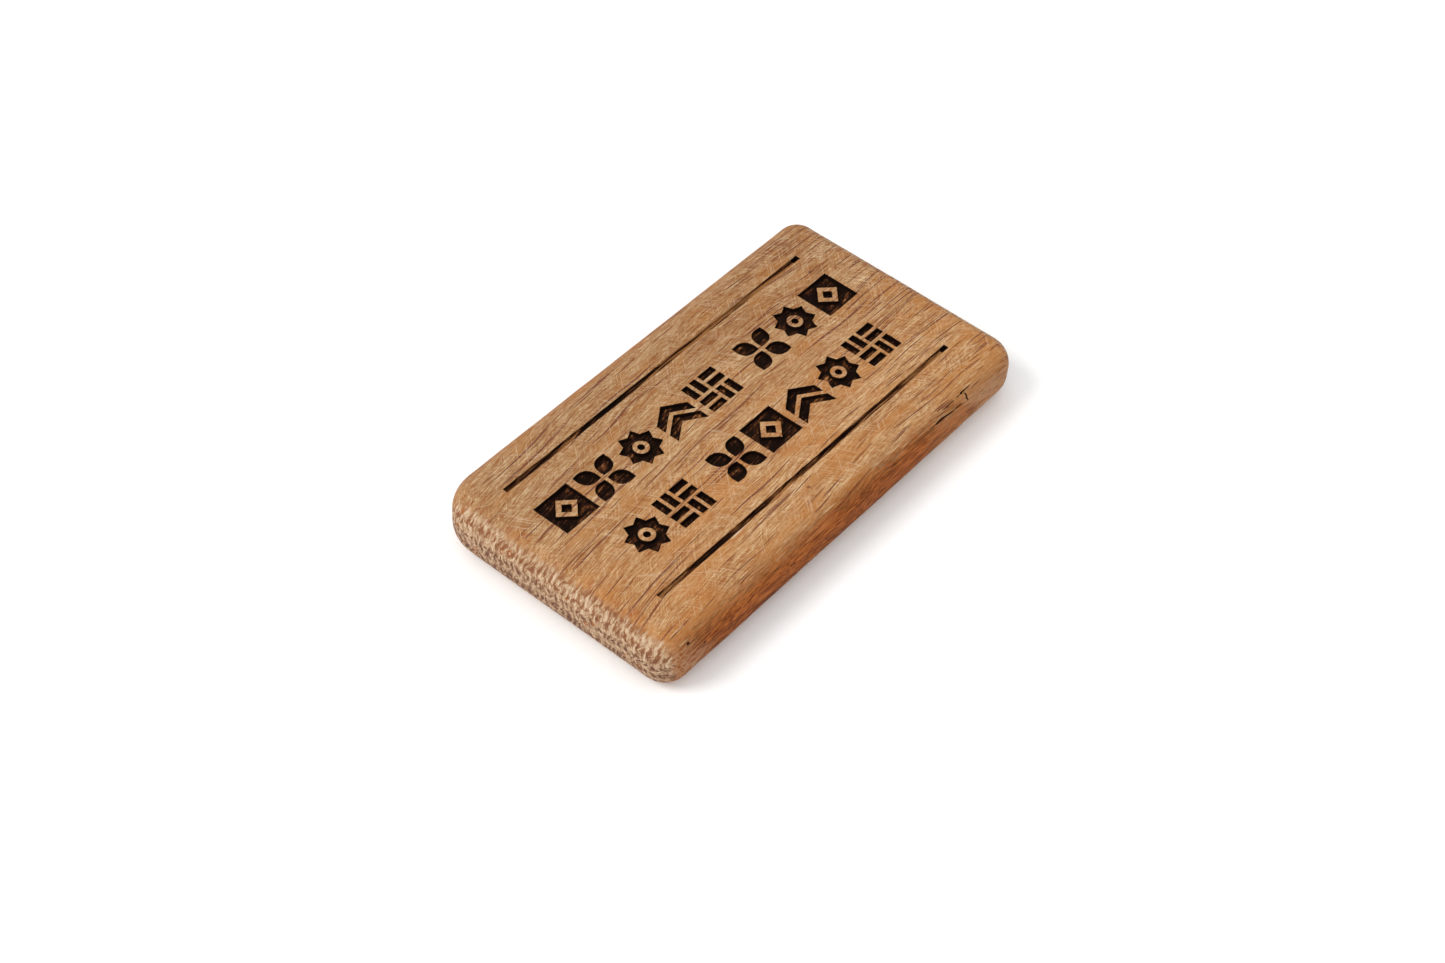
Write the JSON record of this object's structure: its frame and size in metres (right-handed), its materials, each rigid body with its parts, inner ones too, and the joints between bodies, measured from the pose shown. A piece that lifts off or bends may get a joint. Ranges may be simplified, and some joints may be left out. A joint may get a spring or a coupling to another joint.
{
  "type": "engraved wooden plaque magnet",
  "caption": "Small solid hardwood plaque with rounded edges, a laser-engraved ornament between two rules, and disc magnets set into its back.",
  "frame": {"origin": "centre of the flat back face", "axes": "+X along the long side, left to right as the face is seen upright; +Y towards the upper long side; +Z out of the engraved face"},
  "size_m": [0.08, 0.0432, 0.009],
  "materials": {
    "wood": "bare sanded open-grain hardwood, charred dark brown in the engraving",
    "nickel": "nickel plating with light handling scratches",
    "epoxy": "set two-part adhesive, honey coloured"
  },
  "bodies": {
    "root": {"wood_block": "wood", "magnet_left": "nickel", "magnet_right": "nickel", "adhesive_left": "epoxy", "adhesive_right": "epoxy"}
  },
  "joints": []
}
